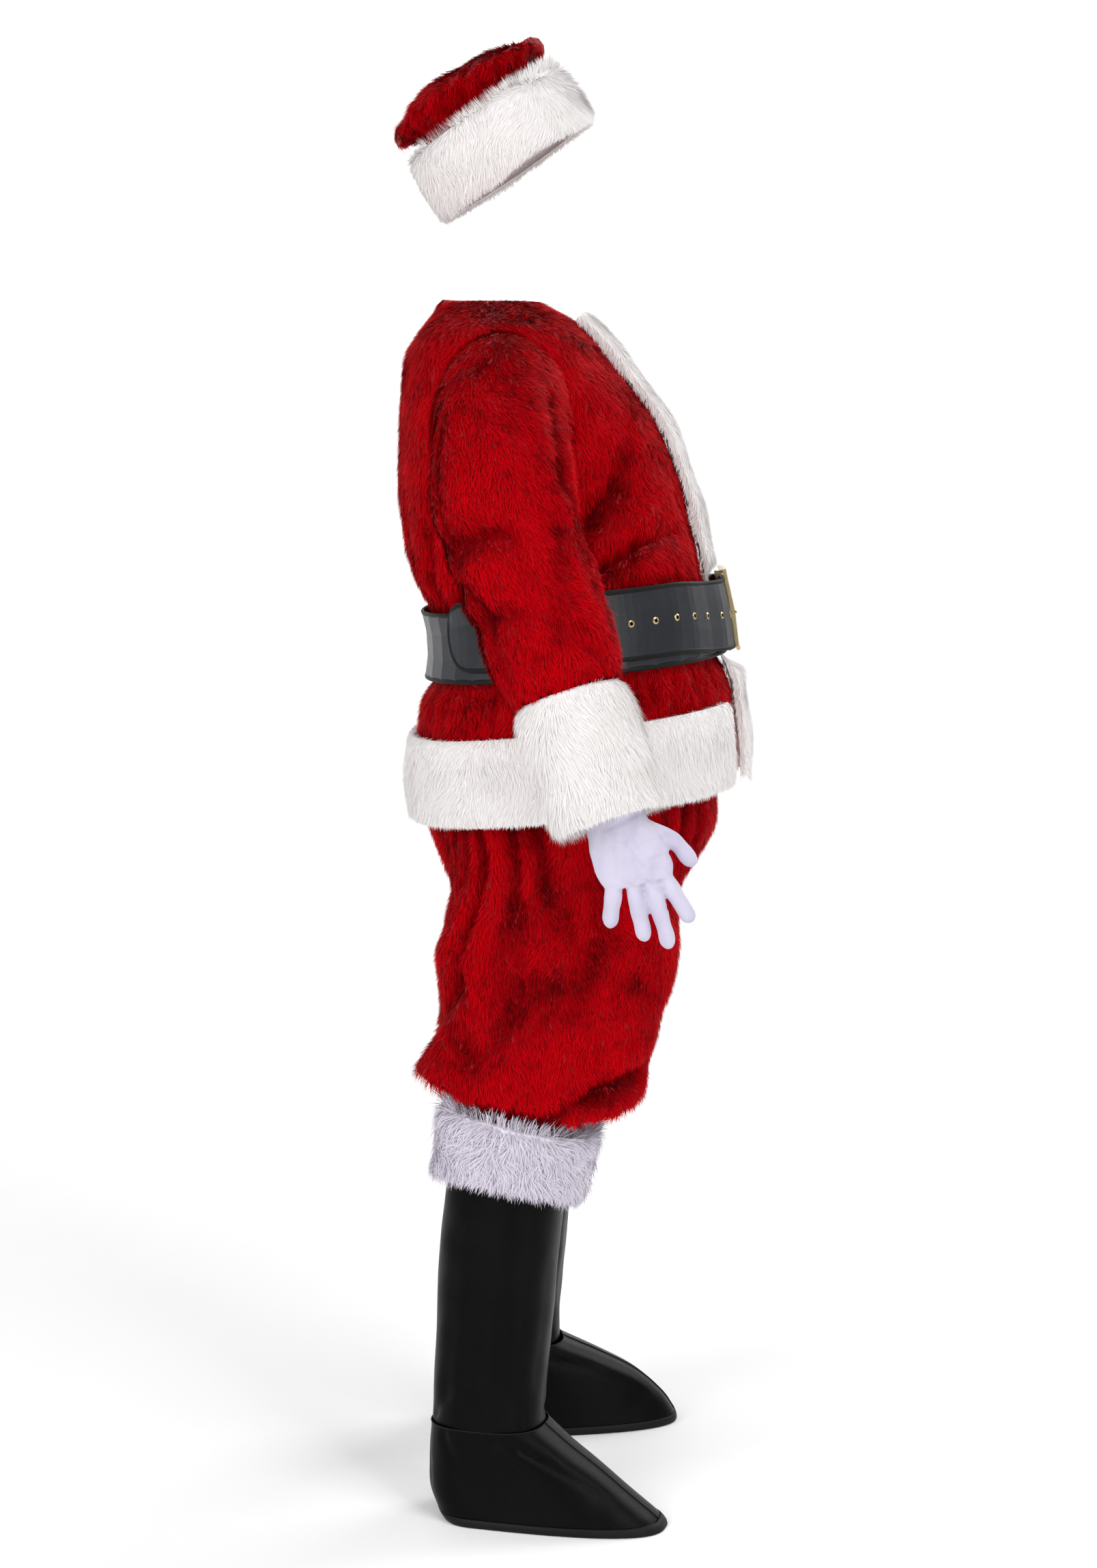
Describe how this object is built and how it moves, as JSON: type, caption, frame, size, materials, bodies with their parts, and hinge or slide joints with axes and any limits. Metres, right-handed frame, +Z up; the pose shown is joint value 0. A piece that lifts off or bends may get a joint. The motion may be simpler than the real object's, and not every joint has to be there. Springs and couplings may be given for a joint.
{
  "type": "santa suit",
  "caption": "Plush santa suit worn as a hollow form: soft hat with fur band, belted jacket with fur trims, gathered trousers, fur-topped boot covers and gloves",
  "frame": {"origin": "where the wearer's shoulders carry the suit, at the base of the neck on the centre line, behind the middle of the neck opening", "axes": "+X to the wearer's left, +Y to the wearer's back, +Z up; the suit faces -Y"},
  "size_m": [0.8688, 0.4686, 1.8646],
  "materials": {
    "red_plush": "deep red faux fur plush with a soft short pile",
    "white_fur": "white faux fur, dense and fluffy",
    "boot_fur": "long shaggy lavender-white faux fur",
    "black_vinyl": "smooth black coated cloth with a soft sheen",
    "gold_metal": "polished gold-coloured metal",
    "white_glove": "white knit glove cloth, slightly lavender"
  },
  "bodies": {
    "root": {"belt_strap": "black_vinyl", "boot_binding_left": "black_vinyl", "boot_binding_right": "black_vinyl", "boot_cuff_left": "boot_fur", "boot_cuff_right": "boot_fur", "boot_panel_left_side_left": "black_vinyl", "boot_panel_left_side_right": "black_vinyl", "boot_panel_right_side_left": "black_vinyl", "boot_panel_right_side_right": "black_vinyl", "boot_shaft_left": "black_vinyl", "boot_shaft_right": "black_vinyl", "buckle_frame": "gold_metal", "buckle_prong": "gold_metal", "eyelet_1": "gold_metal", "eyelet_2": "gold_metal", "eyelet_3": "gold_metal", "eyelet_4": "gold_metal", "eyelet_5": "gold_metal", "eyelet_6": "gold_metal", "eyelet_7": "gold_metal", "eyelet_8": "gold_metal", "glove_left": "white_glove", "glove_right": "white_glove", "hat_band": "white_fur", "hat_crown": "red_plush", "hat_pompom": "white_fur", "hem_band_back": "white_fur", "hem_band_left": "white_fur", "hem_band_right": "white_fur", "jacket_back": "red_plush", "jacket_front_left": "red_plush", "jacket_front_right": "red_plush", "jacket_placket": "white_fur", "neck_facing": "red_plush", "sleeve_cuff_left": "white_fur", "sleeve_cuff_right": "white_fur", "sleeve_left": "red_plush", "sleeve_right": "red_plush", "trousers_back_left": "red_plush", "trousers_back_right": "red_plush", "trousers_front_left": "red_plush", "trousers_front_right": "red_plush", "waistband": "red_plush"}
  },
  "joints": []
}
